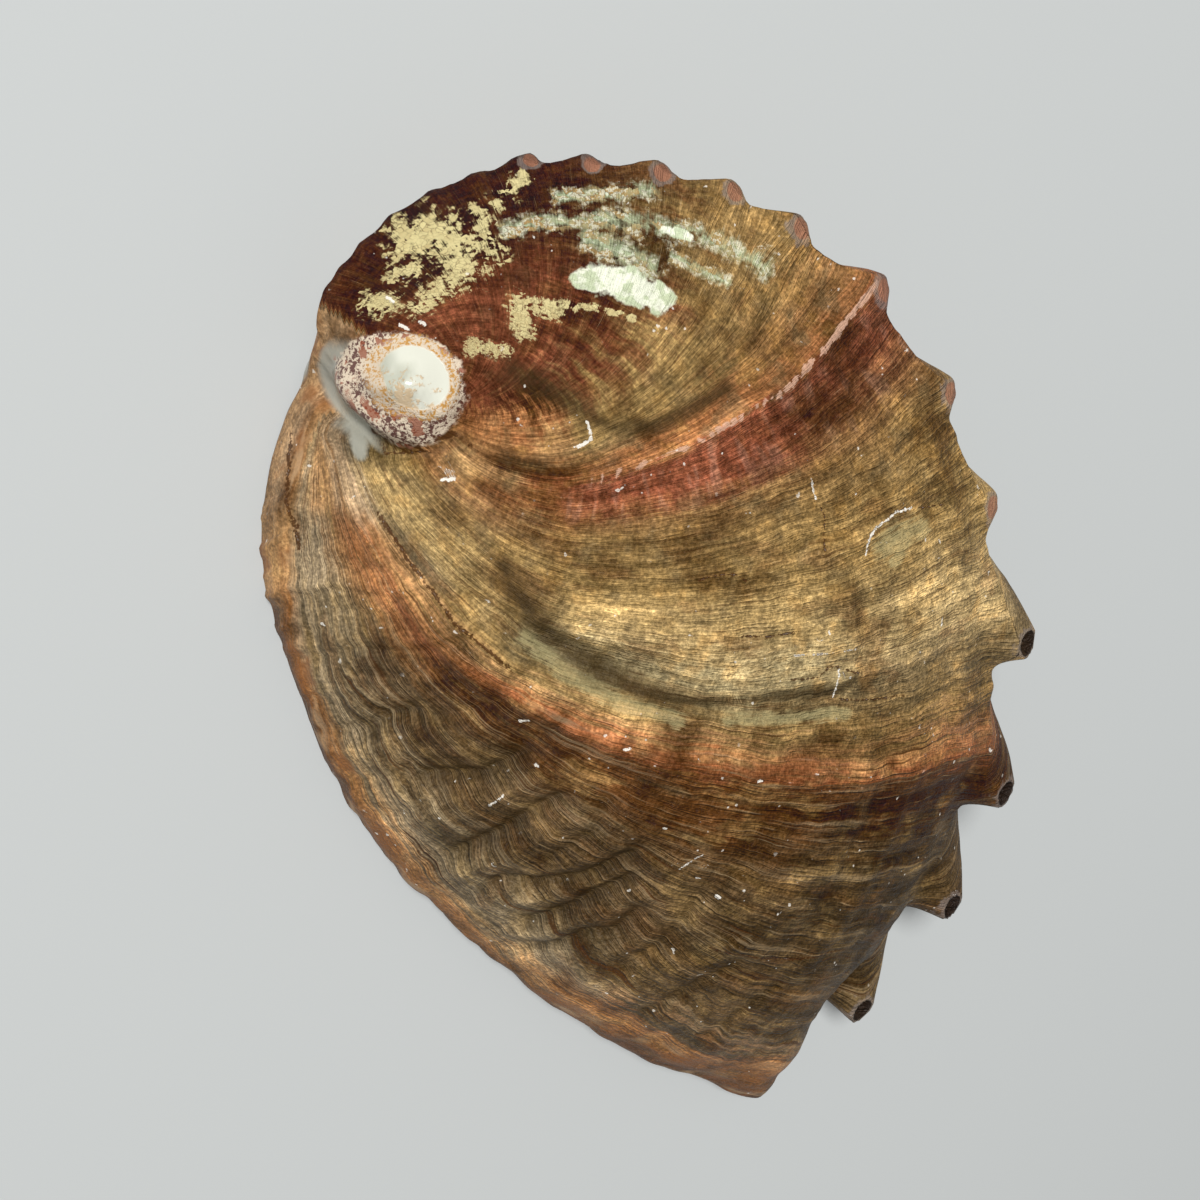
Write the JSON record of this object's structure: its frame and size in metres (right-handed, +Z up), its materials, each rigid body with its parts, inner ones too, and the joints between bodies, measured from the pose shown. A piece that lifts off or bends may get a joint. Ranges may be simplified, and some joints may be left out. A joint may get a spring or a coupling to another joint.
{
  "type": "disk abalone shell",
  "caption": "Low oval ear-shaped sea shell with a coiled apex near one end, a raised row of spouted holes along one shoulder, and a hollow pearly underside.",
  "frame": {"origin": "middle of the underside of the shell's box, on the plane that the rim rests on", "axes": "+Z up through the back of the shell, -Y towards the pointed head end, +X towards the row of holes"},
  "size_m": [0.0998, 0.1492, 0.0366],
  "materials": {
    "shell": "grown lime shell: satin olive, rust and maroon growth bands outside, pearly silver-green nacre inside"
  },
  "bodies": {
    "root": {"shell": "shell"}
  },
  "joints": []
}
